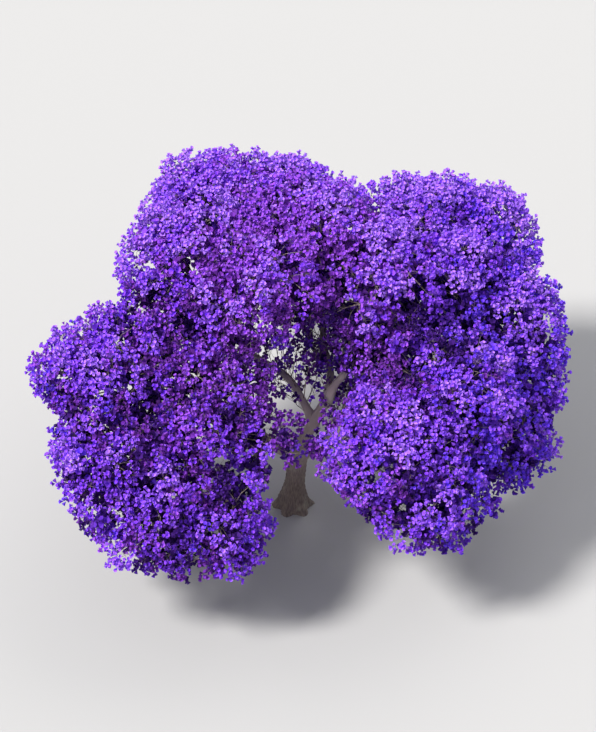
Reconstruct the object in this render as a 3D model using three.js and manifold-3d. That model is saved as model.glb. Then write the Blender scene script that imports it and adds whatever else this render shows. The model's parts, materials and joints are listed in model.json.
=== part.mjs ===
// Jacaranda tree in full bloom: a short trunk that forks low, spreading boughs and rounded masses of
// blossom. Millimetres, +Z up, +X to the viewer's right and +Y away. The origin is the centre of the flat
// cut under the trunk, at ground level.
import * as THREE from "three";
import { mergeVertices } from "three/addons/utils/BufferGeometryUtils.js";
import Module from "manifold-3d";

// Trunk, with the ribs of its root flare, which fade out up the trunk
const TRUNK = { bearing: 35, reach: 190, height: 2300, base: 430, tip: 350, sides: 15, steps: 7 };
const FLARE = { extra: 320, fade: 420, ribs: 6, depth: 0.15, turn: 0.6 };

// Limbs, from the thickest order to the thinnest: radius at the base and the tip, sides and lengthwise steps
const SCAFFOLD = { base: 265, tip: 195, sides: 9, steps: 4, curve: 0.34, sway: 0.03 };
const BOUGH = { base: 165, tip: 98, sides: 7, steps: 5, curve: 0.36, sway: 0.035 };
const LIMB = { base: 84, tip: 60, sides: 5, steps: 3, curve: 0.34, sway: 0.04 };
const STRAIGHT = { curve: 0.33, sway: 0 };

// Masses of blossom. Reaches are shares of the way from the mass's centre to the edge of its space.
const FLATTENING = 0.74;
const ENTRY = 0.74;
const STEM = { base: 58, tip: 40, end: 0.1, sides: 4, steps: 2 };
const TWIG = { base: 26, tip: 18, count: 4, reach: 0.55, lowest: 0.35, highest: 0.95, sides: 3 };
const SPRAY = { pitch: 216, reach: [0.88, 0.99], width: [0.36, 0.46], leaving: [0.5, 0.97] };
const SPRAY_SHAPE = { widest: 0.62, thickness: 0.56 };
const SPRAY_SIZES = [1, 0.8, 0.6];
const LOWEST = -0.55;
const JITTER = 0.3;
const SPACE_MARGIN = 40;
const FIRST_SEED = 100;

// How softly neighbouring masses merge into one skin, the most that it stands out beyond their own balls,
// and how many times the search for it is halved
const SKIN = { softness: 0.2, furthest: 1.35, halvings: 12 };

// Clearance between solids, and the least detail that is kept where pieces are fused
const GAP = 0.3;
const FINEST_DETAIL = 3;

// How limbs turn: the step that measures a path's direction, how far a new limb turns away from its parent,
// its greatest share of its parent's radius there, and how far scaffolds and limbs turn upwards
const TANGENT_STEP = 0.005;
const DEPARTURE = 0.55;
const LARGEST_SHARE = 0.95;
const SCAFFOLD_LIFT = 0.6;
const LIMB_LIFT = 0.1;

// How far along its bough the first limb leaves, and how much further back each next one does
const FIRST_LIMB = 0.98;
const LIMB_SPACING = 0.07;

const BARK = new THREE.MeshStandardMaterial({ color: 0x6d5a50, roughness: 0.95, metalness: 0 });
const BLOSSOM = new THREE.MeshStandardMaterial({ color: 0x7a4bc8, roughness: 0.75, metalness: 0 });

// Where each limb of the crown goes: compass bearing from +X, anticlockwise seen from above, in degrees,
// horizontal reach from the trunk's foot and height above the ground. "from" is how far along its parent
// a limb leaves it.
const SCAFFOLDS = [
  { name: "scaffold_left", from: 0.97, bearing: 205, reach: 1350, height: 4000 },
  { name: "scaffold_right", from: 0.97, bearing: -12, reach: 1650, height: 3900 },
  { name: "scaffold_back", from: 0.98, bearing: 14, reach: 1400, height: 5100 },
];

// Each bough, and the masses that its limbs carry, with the radius of each mass
const BOUGHS = [
  {
    name: "left",
    parent: "scaffold_left",
    from: 0.98,
    bearing: 200,
    reach: 4600,
    height: 5500,
    masses: [
      { bearing: 190, reach: 7200, height: 7500, radius: 3250 },
      { bearing: 213, reach: 7600, height: 5700, radius: 3150 },
      { bearing: 230, reach: 8000, height: 4700, radius: 2700 },
    ],
  },
  {
    name: "front",
    parent: "scaffold_left",
    from: 0.8,
    bearing: 243,
    reach: 3500,
    height: 4500,
    masses: [
      { bearing: 229, reach: 4500, height: 7000, radius: 3200 },
      { bearing: 247, reach: 7300, height: 4800, radius: 2550 },
    ],
  },
  {
    name: "back_left",
    parent: "scaffold_back",
    from: 0.6,
    bearing: 132,
    reach: 4300,
    height: 7200,
    masses: [
      { bearing: 147, reach: 4900, height: 10100, radius: 3000 },
      { bearing: 116, reach: 7900, height: 9850, radius: 2750 },
      { bearing: 155, reach: 1600, height: 10300, radius: 3000 },
      { bearing: 172, reach: 4300, height: 7900, radius: 2800 },
    ],
  },
  {
    name: "back",
    parent: "scaffold_back",
    from: 0.98,
    bearing: 86,
    reach: 4700,
    height: 7500,
    masses: [
      { bearing: 96, reach: 5900, height: 10500, radius: 2800 },
      { bearing: 105, reach: 8800, height: 7600, radius: 2800 },
    ],
  },
  {
    name: "leader",
    parent: "scaffold_back",
    from: 0.96,
    bearing: 20,
    reach: 2400,
    height: 7700,
    masses: [
      { bearing: 72, reach: 3200, height: 11200, radius: 2900 },
      { bearing: 22, reach: 3200, height: 10200, radius: 3000 },
      { bearing: 17, reach: 3300, height: 7200, radius: 2050 },
    ],
  },
  {
    name: "back_right",
    parent: "scaffold_right",
    from: 0.75,
    bearing: 46,
    reach: 5800,
    height: 6800,
    masses: [
      { bearing: 51, reach: 7700, height: 9400, radius: 2800 },
      { bearing: 41, reach: 9500, height: 8700, radius: 3000 },
      { bearing: 42, reach: 9300, height: 6300, radius: 2600 },
    ],
  },
  {
    name: "right",
    parent: "scaffold_right",
    from: 0.98,
    bearing: 8,
    reach: 5100,
    height: 5900,
    masses: [
      { bearing: 24, reach: 6300, height: 9400, radius: 3000 },
      { bearing: 14, reach: 8300, height: 7900, radius: 2850 },
      { bearing: 1, reach: 8200, height: 6100, radius: 2800 },
      { bearing: -19, reach: 8200, height: 5300, radius: 2600 },
    ],
  },
  {
    name: "front_right",
    parent: "scaffold_right",
    from: 0.9,
    bearing: -42,
    reach: 4200,
    height: 4800,
    masses: [
      { bearing: -53, reach: 6200, height: 7000, radius: 3200 },
      { bearing: -26, reach: 6700, height: 8000, radius: 3050 },
      { bearing: -50, reach: 7700, height: 5200, radius: 2600 },
    ],
  },
];

const wasm = await Module();
wasm.setup();

const UP = new THREE.Vector3(0, 0, 1);

// The point at a bearing in degrees, a horizontal reach and a height.
function place({ bearing, reach, height }) {
  const angle = THREE.MathUtils.degToRad(bearing);
  return new THREE.Vector3(reach * Math.cos(angle), reach * Math.sin(angle), height);
}

// A small seeded source of even random numbers from 0 to 1.
function seeded(seed) {
  let state = seed >>> 0;
  return () => {
    state = (state + 0x6d2b79f5) >>> 0;
    let mixed = state;
    mixed = Math.imul(mixed ^ (mixed >>> 15), mixed | 1);
    mixed ^= mixed + Math.imul(mixed ^ (mixed >>> 7), mixed | 61);
    return ((mixed ^ (mixed >>> 14)) >>> 0) / 4294967296;
  };
}

// Directions spread evenly over a sphere down to a lowest height, in a golden-angle spiral from the top.
function spreadDirections(count, lowest) {
  const golden = Math.PI * (3 - Math.sqrt(5));
  return Array.from({ length: count }, (_, i) => {
    const z = 1 - ((1 - lowest) * (i + 0.5)) / count;
    const flat = Math.sqrt(1 - z * z);
    return new THREE.Vector3(flat * Math.cos(i * golden), flat * Math.sin(i * golden), z);
  });
}

// A limb's centre line: a cubic curve that leaves along one direction and arrives along another,
// with a sway to one side and back that fades out at both ends.
class LimbPath {
  constructor(start, leave, end, arrive, { curve, sway } = STRAIGHT, phase = 0) {
    const chord = end.clone().sub(start);
    this.length = chord.length();
    this.line = new THREE.CubicBezierCurve3(
      start,
      start.clone().addScaledVector(leave, this.length * curve),
      end.clone().addScaledVector(arrive, -this.length * curve),
      end,
    );
    this.leave = leave;
    this.arrive = arrive;
    this.side = chord.cross(UP).normalize();
    this.sway = sway * this.length;
    this.phase = phase;
  }

  point(t) {
    const fade = Math.sin(Math.PI * t) ** 2;
    const swing = this.sway * fade * Math.sin(3 * Math.PI * t + this.phase);
    return this.line.getPoint(t).addScaledVector(this.side, swing);
  }

  tangent(t) {
    if (t === 0) return this.leave.clone();
    if (t === 1) return this.arrive.clone();
    return this.point(t + TANGENT_STEP).sub(this.point(t - TANGENT_STEP)).normalize();
  }

  // The point on the straight pieces that a tube of so many steps is made of.
  pointOnTube(t, steps) {
    const first = Math.min(Math.floor(t * steps), steps - 1);
    return this.point(first / steps).lerp(this.point((first + 1) / steps), t * steps - first);
  }
}

// A closed manifold solid from a three.js geometry.
function solidOf(geometry) {
  geometry.deleteAttribute("normal");
  geometry.deleteAttribute("uv");
  const merged = mergeVertices(geometry, 1e-3);
  return new wasm.Manifold(
    new wasm.Mesh({
      numProp: 3,
      vertProperties: merged.getAttribute("position").array,
      triVerts: new Uint32Array(merged.index.array),
    }),
  );
}

// A three.js mesh from a manifold solid.
function meshOf(name, solid, material) {
  const { vertProperties, triVerts } = solid.getMesh();
  const geometry = new THREE.BufferGeometry();
  geometry.setAttribute("position", new THREE.BufferAttribute(new Float32Array(vertProperties), 3));
  geometry.setIndex(new THREE.BufferAttribute(new Uint32Array(triVerts), 1));
  geometry.computeVertexNormals();
  const mesh = new THREE.Mesh(geometry, material);
  mesh.name = name;
  return mesh;
}

// The largest body of a solid, without loose scraps.
function largestBody(solid) {
  return solid.decompose().reduce((best, body) => (body.volume() > best.volume() ? body : best));
}

// A tapered tube along a path: a cylinder whose rings are carried along the path without twisting.
// radiusAt gives the radius at a share of the length and an angle round the tube, and grow thickens it.
function tube(path, radiusAt, sides, steps, grow = 0) {
  const geometry = new THREE.CylinderGeometry(1, 1, 1, sides, steps);
  const rings = [];
  let across = new THREE.Vector3(1, 0, 0);
  for (let i = 0; i <= steps; i++) {
    const along = path.tangent(i / steps);
    across = across.clone().addScaledVector(along, -across.dot(along)).normalize();
    const centre = path.point(i / steps);
    if (i === 0) centre.addScaledVector(along, -grow);
    if (i === steps) centre.addScaledVector(along, grow);
    rings.push({ centre, across, other: across.clone().cross(along) });
  }
  const position = geometry.getAttribute("position");
  for (let i = 0; i < position.count; i++) {
    const share = position.getY(i) + 0.5;
    const { centre, across: first, other } = rings[Math.round(share * steps)];
    const radius = radiusAt(share, Math.atan2(position.getZ(i), position.getX(i))) + grow;
    const point = centre
      .clone()
      .addScaledVector(first, position.getX(i) * radius)
      .addScaledVector(other, position.getZ(i) * radius);
    position.setXYZ(i, point.x, point.y, point.z);
  }
  return solidOf(geometry);
}

const tapered = (base, tip) => (share) => base + (tip - base) * share;

// A spray of blossom: an octahedron drawn out between its root and its tip. halfWidth gives how far
// it spreads to each side of its widest point.
function spraySolid(root, tip, halfWidth) {
  const geometry = new THREE.OctahedronGeometry(1);
  const along = tip.clone().sub(root).normalize();
  const across = along.clone().cross(UP).normalize();
  const middle = root.clone().lerp(tip, SPRAY_SHAPE.widest);
  const position = geometry.getAttribute("position");
  for (let i = 0; i < position.count; i++) {
    const side = new THREE.Vector3()
      .addScaledVector(across, position.getX(i))
      .addScaledVector(across.clone().cross(along), position.getZ(i));
    const flat = Math.abs(position.getZ(i)) > 0.5 ? SPRAY_SHAPE.thickness : 1;
    const end = position.getY(i) > 0 ? tip : root;
    const isSide = side.lengthSq() > 0.5;
    const point = isSide ? middle.clone().addScaledVector(side, halfWidth(middle, side, flat)) : end;
    position.setXYZ(i, point.x, point.y, point.z);
  }
  return solidOf(geometry);
}

// The trunk tapers to its fork, and flares into ribs at the ground.
function trunkRadius(share, angle) {
  const flare = Math.exp((-share * TRUNK.height) / FLARE.fade);
  const ribs = 1 + FLARE.depth * flare * Math.cos(FLARE.ribs * angle + FLARE.turn);
  return (tapered(TRUNK.base, TRUNK.tip)(share) + FLARE.extra * flare) * ribs;
}

const limbs = [];

// Makes one limb, trimmed a gap clear of the limbs made before it, and keeps it for its children.
function addLimb(name, path, radiusAt, sides, steps) {
  const near = limbs.map((limb) => limb.grown);
  const body = tube(path, radiusAt, sides, steps);
  const trimmed = near.length ? body.subtract(wasm.Manifold.union(near)) : body;
  const limb = {
    name,
    path,
    radiusAt,
    solid: largestBody(trimmed),
    grown: tube(path, radiusAt, sides, steps, GAP),
  };
  limbs.push(limb);
  return limb;
}

// A limb that leaves its parent part of the way along and arrives heading outwards.
function branchOff(name, parent, from, end, arrive, order, phase) {
  const start = parent.path.point(from);
  const leave = parent.path.tangent(from).lerp(end.clone().sub(start).normalize(), DEPARTURE).normalize();
  const base = Math.min(order.base, LARGEST_SHARE * parent.radiusAt(from, 0));
  const path = new LimbPath(start, leave, end, arrive, order, phase);
  return addLimb(name, path, tapered(base, order.tip), order.sides, order.steps);
}

// The space of each mass: a flattened ball that merges softly into the balls around it, cut off by a plane
// between it and each of its neighbours.
function radiusAlong(mass, direction) {
  const squashed = new THREE.Vector3(direction.x, direction.y, direction.z / FLATTENING);
  return mass.radius / squashed.length();
}

function dividingPlanes(mass, masses) {
  return masses
    .filter((other) => other !== mass)
    .map((other) => {
      const normal = other.centre.clone().sub(mass.centre);
      const distance = normal.length();
      normal.normalize();
      const own = radiusAlong(mass, normal);
      const share = own / (own + radiusAlong(other, normal));
      return { normal, limit: distance * share - SPACE_MARGIN };
    });
}

// A point is inside the crown where the pull of all masses together comes to more than one. A mass's pull
// is one on the skin of its own ball and falls off softly outside it.
function isInCrown(point) {
  const pull = ({ centre, radius }) => {
    const offset = point.clone().sub(centre);
    const share = Math.hypot(offset.x, offset.y, offset.z / FLATTENING) / radius;
    return Math.exp((1 - share) / SKIN.softness);
  };
  return masses.reduce((sum, mass) => sum + pull(mass), 0) > 1;
}

// How far the crown's skin lies from a mass's centre along a direction.
function skinAlong(mass, direction) {
  let inside = radiusAlong(mass, direction);
  let outside = SKIN.furthest * inside;
  for (let i = 0; i < SKIN.halvings; i += 1) {
    const middle = (inside + outside) / 2;
    if (isInCrown(mass.centre.clone().addScaledVector(direction, middle))) inside = middle;
    else outside = middle;
  }
  return inside;
}

// How far a mass's own space reaches from its centre along a direction.
function reachAlong(mass, direction) {
  return Math.min(skinAlong(mass, direction), reachToPlanes(mass, mass.centre, direction));
}

// How far it is from a point in a mass to the nearest dividing plane along a direction.
function reachToPlanes(mass, point, direction) {
  const offset = point.clone().sub(mass.centre);
  return mass.planes.reduce((reach, { normal, limit }) => {
    const facing = direction.dot(normal);
    return facing > 0 ? Math.min(reach, (limit - offset.dot(normal)) / facing) : reach;
  }, Infinity);
}

// An even direction turned a little to one side by chance.
function jittered(direction, random) {
  const turned = direction.clone();
  turned.x += JITTER * (random() - 0.5);
  turned.y += JITTER * (random() - 0.5);
  turned.z += JITTER * (random() - 0.5);
  return turned.normalize();
}

// A mass of blossom: twigs fork from one stem, and sprays stand out from them to the edge of the space.
// A twig or a spray that would touch a limb is made smaller or left out.
function blossomMass(mass, random, allLimbs) {
  const { centre, entry, heading } = mass;
  const isClear = (solid) => solid.intersect(allLimbs).isEmpty();
  const crown = centre.clone().addScaledVector(UP, STEM.end * mass.radius);
  const start = entry.clone().addScaledVector(heading, 2 * GAP);
  const stem = new LimbPath(start, heading, crown, UP);
  const parts = [tube(stem, tapered(STEM.base, STEM.tip), STEM.sides, STEM.steps)];

  const twigs = [];
  for (const direction of spreadDirections(TWIG.count, LOWEST)) {
    const turned = jittered(direction, random);
    const share = THREE.MathUtils.mapLinear(direction.z, LOWEST, 1, TWIG.lowest, TWIG.highest);
    const from = stem.pointOnTube(share, STEM.steps);
    const end = centre.clone().addScaledVector(turned, TWIG.reach * reachAlong(mass, turned));
    const out = end.clone().sub(from).normalize();
    const path = new LimbPath(from, out, end, out);
    const solid = tube(path, tapered(TWIG.base, TWIG.tip), TWIG.sides, 1);
    if (!isClear(solid)) continue;
    parts.push(solid);
    twigs.push({ direction: turned, path });
  }

  for (const direction of spreadDirections(Math.round(mass.radius / SPRAY.pitch), LOWEST)) {
    const turned = jittered(direction, random);
    const [leaving, reach, width] = [SPRAY.leaving, SPRAY.reach, SPRAY.width].map(([low, high]) =>
      THREE.MathUtils.lerp(low, high, random()),
    );
    const facing = (twig) => twig.direction.dot(turned);
    const twig = twigs.reduce((best, other) => (facing(other) > facing(best) ? other : best));
    const root = twig.path.pointOnTube(leaving, 1);
    for (const size of SPRAY_SIZES) {
      const tip = centre.clone().addScaledVector(turned, size * reach * reachAlong(mass, turned));
      const spray = spraySolid(root, tip, (middle, side, flat) =>
        Math.min(size * width * flat * mass.radius, reachToPlanes(mass, middle, side)),
      );
      if (!isClear(spray)) continue;
      parts.push(spray);
      break;
    }
  }
  return largestBody(wasm.Manifold.union(parts).simplify(FINEST_DETAIL).subtract(allLimbs));
}

const trunkPath = new LimbPath(new THREE.Vector3(), UP, place(TRUNK), UP);
const trunk = addLimb("trunk", trunkPath, trunkRadius, TRUNK.sides, TRUNK.steps);

const scaffolds = new Map(
  SCAFFOLDS.map((plan, i) => {
    const end = place(plan);
    const arrive = place({ ...plan, height: 0 }).normalize().lerp(UP, SCAFFOLD_LIFT).normalize();
    return [plan.name, branchOff(plan.name, trunk, plan.from, end, arrive, SCAFFOLD, i)];
  }),
);

const boughs = BOUGHS.map((plan, i) => {
  const end = place(plan);
  const parent = scaffolds.get(plan.parent);
  const middle = plan.masses
    .reduce((sum, mass) => sum.add(place(mass)), new THREE.Vector3())
    .divideScalar(plan.masses.length);
  const arrive = middle.sub(end).normalize();
  return branchOff(`bough_${plan.name}`, parent, plan.from, end, arrive, BOUGH, 2 * i + 1);
});

const masses = BOUGHS.flatMap((plan, i) =>
  plan.masses.map((mass, j) => {
    const centre = place(mass);
    const parent = boughs[i];
    const from = FIRST_LIMB - LIMB_SPACING * j;
    const heading = centre.clone().sub(parent.path.point(from)).normalize().lerp(UP, LIMB_LIFT).normalize();
    const entry = centre.clone().addScaledVector(heading, -ENTRY * radiusAlong(mass, heading));
    const label = `${plan.name}_${j + 1}`;
    branchOff(`limb_${label}`, parent, from, entry, heading, LIMB, 3 * i + j);
    return { name: `blossom_${label}`, centre, entry, heading, radius: mass.radius };
  }),
);
for (const mass of masses) mass.planes = dividingPlanes(mass, masses);

const allLimbs = wasm.Manifold.union(limbs.map((limb) => limb.grown));
const tree = new THREE.Group();
for (const { name, solid } of limbs) tree.add(meshOf(name, solid, BARK));
masses.forEach((mass, i) => {
  tree.add(meshOf(mass.name, blossomMass(mass, seeded(FIRST_SEED + i), allLimbs), BLOSSOM));
});

export default tree;
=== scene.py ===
"""Jacaranda tree in full bloom: its bark, its twigs and its blossom, over the fixed solids.

The trunk and limbs follow the same centre lines and sizes as the solids that they stand for. Every mass
of blossom grows on from the tip of its limb by one seeded rule, first the stem, twigs and sprays of the
solids, then shoots, twiglets and single flowers within the same space. Metres, +Z up.
"""

from __future__ import annotations

import json
import logging
import math
from dataclasses import dataclass, field, fields, replace
from enum import Enum
from typing import Any, Self

import bpy
import numpy as np
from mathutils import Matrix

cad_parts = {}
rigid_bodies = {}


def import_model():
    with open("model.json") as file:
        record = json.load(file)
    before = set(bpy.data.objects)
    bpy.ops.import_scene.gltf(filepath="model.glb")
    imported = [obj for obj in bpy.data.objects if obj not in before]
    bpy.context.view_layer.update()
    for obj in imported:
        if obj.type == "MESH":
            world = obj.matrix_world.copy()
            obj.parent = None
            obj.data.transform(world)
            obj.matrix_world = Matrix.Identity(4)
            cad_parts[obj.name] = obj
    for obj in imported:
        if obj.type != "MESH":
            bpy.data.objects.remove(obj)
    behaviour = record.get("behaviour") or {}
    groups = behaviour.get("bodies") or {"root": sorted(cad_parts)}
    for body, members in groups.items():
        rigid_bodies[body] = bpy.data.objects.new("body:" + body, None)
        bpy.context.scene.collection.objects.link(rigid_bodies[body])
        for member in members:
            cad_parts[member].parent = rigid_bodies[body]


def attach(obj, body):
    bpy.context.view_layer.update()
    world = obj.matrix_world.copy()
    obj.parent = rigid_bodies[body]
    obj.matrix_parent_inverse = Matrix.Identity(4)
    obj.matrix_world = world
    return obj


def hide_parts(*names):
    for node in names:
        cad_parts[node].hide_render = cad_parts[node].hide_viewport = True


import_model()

Array = np.ndarray
Point = tuple[float, float, float]
Span = tuple[float, float]
Colour = tuple[float, float, float, float]
RIGHT = np.array([1.0, 0.0, 0.0])
UP = np.array([0.0, 0.0, 1.0])
GOLDEN_ANGLE = math.pi * (3.0 - math.sqrt(5.0))
PIECE_LIMIT = 190_000
LOG = logging.getLogger("jacaranda")


def unit(vectors: Array) -> Array:
    """Each vector divided by its own length."""
    return vectors / np.maximum(np.linalg.norm(vectors, axis=-1, keepdims=True), 1e-12)


def blend(first: Array, second: Array, share: float) -> Array:
    """The unit vector that lies a share of the way from one direction to another."""
    return unit(first + (second - first) * share)


def basis(along: Array) -> tuple[Array, Array]:
    """Two unit directions square to each given one.

    The first is the cross product of the direction with whichever of the X and Z axes lies further from
    it, and the second is the cross product of the two.

    Args:
        along: Unit directions, with the three coordinates last.

    Returns:
        The two sets of directions, shaped as the given ones.
    """
    helper = np.where(np.abs(along[..., 2:]) < 0.9, UP, RIGHT)
    first = unit(np.cross(along, helper))
    return first, np.cross(along, first)


def around(angles: Array, first: Array, second: Array) -> Array:
    """Directions round a circle: the cosine times one direction plus the sine times the other."""
    return np.cos(angles)[..., None] * first + np.sin(angles)[..., None] * second


def linked(name: str, data: bpy.types.ID) -> bpy.types.Object:
    """A new object that holds the given data, standing at the origin.

    Args:
        name: The object's name.
        data: Its mesh, lamp or camera.

    Returns:
        The object, linked to the scene.
    """
    made = bpy.data.objects.new(name, data)
    bpy.context.collection.objects.link(made)
    return made


def spiral(count: int, lowest: float) -> Array:
    """Directions spread evenly over a sphere, from its top down to a lowest height.

    Heights fall in equal steps, and each direction is turned by the golden angle from the last.

    Args:
        count: How many directions to give.
        lowest: The height at which they end, from 1 at the top to -1.

    Returns:
        Unit directions, one a row.
    """
    index = np.arange(count)
    z = 1.0 - (1.0 - lowest) * (index + 0.5) / count
    flat = np.sqrt(1.0 - z * z)
    angle = index * GOLDEN_ANGLE
    return np.stack([flat * np.cos(angle), flat * np.sin(angle), z], axis=1)


@dataclass
class SeededChance:
    """The solids' own source of even random numbers from 0 to 1."""

    state: int

    def __call__(self) -> float:
        """The next number: the state steps on, and its bits are mixed by shifts and products.

        Returns:
            A number from 0 to 1.
        """
        mask = 0xFFFFFFFF
        self.state = (self.state + 0x6D2B79F5) & mask
        mixed = self.state
        mixed = ((mixed ^ (mixed >> 15)) * (mixed | 1)) & mask
        mixed ^= (mixed + (((mixed ^ (mixed >> 7)) * (mixed | 61)) & mask)) & mask
        return ((mixed ^ (mixed >> 14)) & mask) / 4294967296.0

    def between(self, low: float, high: float) -> float:
        """The next number, stretched to run from low to high."""
        return low + (high - low) * self()

    def jitter(self, direction: Array, spread: float) -> Array:
        """A direction turned a little to one side by chance."""
        return unit(direction + spread * (np.array([self(), self(), self()]) - 0.5))


@dataclass(frozen=True)
class Place:
    """A point given by its compass bearing in degrees, its reach from the trunk's foot and its height."""

    bearing: float
    reach: float
    height: float

    def point(self) -> Array:
        """The point in X, Y and Z."""
        angle = math.radians(self.bearing)
        return np.array([self.reach * math.cos(angle), self.reach * math.sin(angle), self.height])


@dataclass(frozen=True)
class Order:
    """The sizes that all limbs of one order share, from their base to their tip."""

    base: float
    tip: float
    curve: float
    sway: float
    sides: int
    rings: int
    relief: float


@dataclass(frozen=True)
class Route:
    """A limb's centre line: a cubic curve with a sway to one side that fades out at both ends."""

    start: Array
    leave: Array
    end: Array
    arrive: Array
    curve: float = 0.33
    sway: float = 0.0
    phase: float = 0.0

    @property
    def length(self) -> float:
        """The straight distance from start to end."""
        return float(np.linalg.norm(self.end - self.start))

    @property
    def side(self) -> Array:
        """The level direction square to the chord, which the limb sways along."""
        across = np.cross(self.end - self.start, UP)
        return unit(across) if np.linalg.norm(across) > 1e-6 else RIGHT

    def points(self, shares: Array) -> Array:
        """Points along the centre line.

        The four cubic weights times the four control points, plus the sway times the squared sine of one
        half turn and the sine of one and a half turns.

        Args:
            shares: How far along each point lies, from 0 to 1.

        Returns:
            The points, with the coordinates last.
        """
        handle = self.length * self.curve
        outer = (self.start + self.leave * handle, self.end - self.arrive * handle)
        controls = np.stack([self.start, *outer, self.end])
        t = np.asarray(shares, float)[..., None]
        weights = np.concatenate([(1 - t) ** 3, 3 * t * (1 - t) ** 2, 3 * t * t * (1 - t), t**3], axis=-1)
        fade = np.sin(math.pi * t) ** 2
        swing = self.sway * self.length * fade * np.sin(3 * math.pi * t + self.phase)
        return weights @ controls + swing * self.side

    def tangents(self, shares: Array) -> Array:
        """The centre line's direction at each share, from the points a small step before and after.

        Args:
            shares: How far along each point lies, from 0 to 1.

        Returns:
            Unit directions, with the coordinates last.
        """
        t = np.asarray(shares, float)
        step = 0.005
        inner = unit(self.points(np.clip(t + step, 0, 1)) - self.points(np.clip(t - step, 0, 1)))
        inner = np.where((t <= 0)[..., None], self.leave, inner)
        return np.where((t >= 1)[..., None], self.arrive, inner)


@dataclass
class Surface:
    """A closed surface: vertices, the corners of its faces in turn, and how many corners each face has."""

    verts: Array
    corners: Array
    sizes: Array
    uvs: Array | None = None
    slots: Array | None = None

    @staticmethod
    def joined(parts: list[Surface]) -> Surface:
        """One surface that holds all the given ones.

        Args:
            parts: The surfaces.

        Returns:
            The joined surface.
        """
        offsets = np.cumsum([0] + [len(part.verts) for part in parts[:-1]])
        return Surface(
            np.concatenate([part.verts for part in parts]),
            np.concatenate([part.corners + offset for part, offset in zip(parts, offsets)]),
            np.concatenate([part.sizes for part in parts]),
            None if parts[0].uvs is None else np.concatenate([part.uvs for part in parts]),
        )

    def triangles(self) -> int:
        """How many triangles the faces come to."""
        return int(np.sum(self.sizes - 2))

    def to_object(self, name: str, smooth: bool) -> bpy.types.Object:
        """An object of this surface, standing at the origin.

        Args:
            name: The object's name.
            smooth: Whether its faces are shaded smooth.

        Returns:
            The linked object.
        """
        mesh = bpy.data.meshes.new(name)
        mesh.vertices.add(len(self.verts))
        mesh.vertices.foreach_set("co", self.verts.astype(np.float32).ravel())
        mesh.loops.add(len(self.corners))
        mesh.loops.foreach_set("vertex_index", self.corners.astype(np.int32))
        mesh.polygons.add(len(self.sizes))
        starts = np.cumsum(self.sizes) - self.sizes
        mesh.polygons.foreach_set("loop_start", starts.astype(np.int32))
        mesh.polygons.foreach_set("use_smooth", np.full(len(self.sizes), smooth))
        if self.uvs is not None:
            layer = mesh.uv_layers.new(name="along_limb")
            layer.uv.foreach_set("vector", self.uvs.astype(np.float32).ravel())
        if self.slots is not None:
            mesh.polygons.foreach_set("material_index", self.slots.astype(np.int32))
        mesh.update(calc_edges=True)
        return linked(name, mesh)


@dataclass(frozen=True)
class Limb:
    """One limb of the tree, with the names of its own solid and of the limb that it grows on."""

    name: str
    parent: str
    route: Route
    order: Order
    base: float

    COLLAR_RISE = 0.3
    COLLAR_REACH = 2.4
    LINE_POINTS = 40

    def radius(self, share: float | Array) -> float | Array:
        """The limb's radius at a share of its length, by a straight taper from base to tip."""
        return self.base + (self.order.tip - self.base) * share

    def radii(self, shares: Array, angles: Array) -> Array:
        """The plain radius over a grid of shares and angles, wider where the limb leaves its parent.

        A straight taper from base to tip, times one plus a collar that falls off as the square of the
        distance from the base, counted in base radii.

        Args:
            shares: Shares of the length, one a row.
            angles: Angles round the limb, one a column.

        Returns:
            The radius at each point of the grid.
        """
        away = shares * self.route.length / self.base
        collar = 1.0 + self.COLLAR_RISE * np.exp(-((away / self.COLLAR_REACH) ** 2))
        return np.repeat((self.radius(shares) * collar)[:, None], len(angles), 1)

    def frame_side(self) -> Array:
        """The direction that the pattern's seam starts from."""
        return self.route.side

    def touches(self, other: Limb) -> bool:
        """Whether another limb grows on this one, carries it, or grows on the same limb as it."""
        return other is not self and (other.parent in (self.name, self.parent) or other.name == self.parent)

    def clearance(self, points: Array) -> Array:
        """How far points lie outside the limb: the least distance from its centre line less its radius.

        Args:
            points: The points, with the coordinates last.

        Returns:
            The distances, below zero inside the limb.
        """
        shares = np.linspace(0.0, 1.0, self.LINE_POINTS)
        apart = np.linalg.norm(points[..., None, :] - self.route.points(shares), axis=-1)
        return (apart - self.radius(shares)).min(axis=-1)


@dataclass(frozen=True)
class Trunk(Limb):
    """The trunk, which flares into ribs at the ground."""

    flare: float = 0.32
    fade: float = 0.42
    ribs: int = 6
    depth: float = 0.15
    turn: float = 0.6
    fold: float = 0.35
    fold_turn: float = 1.3
    fold_share: float = 0.3

    def radii(self, shares: Array, angles: Array) -> Array:
        """The radius over a grid of shares and angles.

        A straight taper plus a flare that falls off with height, times one plus a wave round the trunk
        that fades with the flare. Between the ribs the foot folds in a little further.

        Args:
            shares: Shares of the height, one a row.
            angles: Angles round the trunk, one a column.

        Returns:
            The radius at each point of the grid.
        """
        height = shares * self.route.end[2]
        fall = np.exp(-height / self.fade)[:, None]
        wave = np.cos(self.ribs * angles + self.turn)[None, :]
        fold = self.fold * np.cos((2 * self.ribs + 1) * angles + self.fold_turn)[None, :]
        taper = self.radius(shares)[:, None]
        return (taper + self.flare * fall) * (1.0 + self.depth * fall * (wave + self.fold_share * fold))

    def frame_side(self) -> Array:
        """The ribs are counted from +X."""
        return RIGHT


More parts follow.
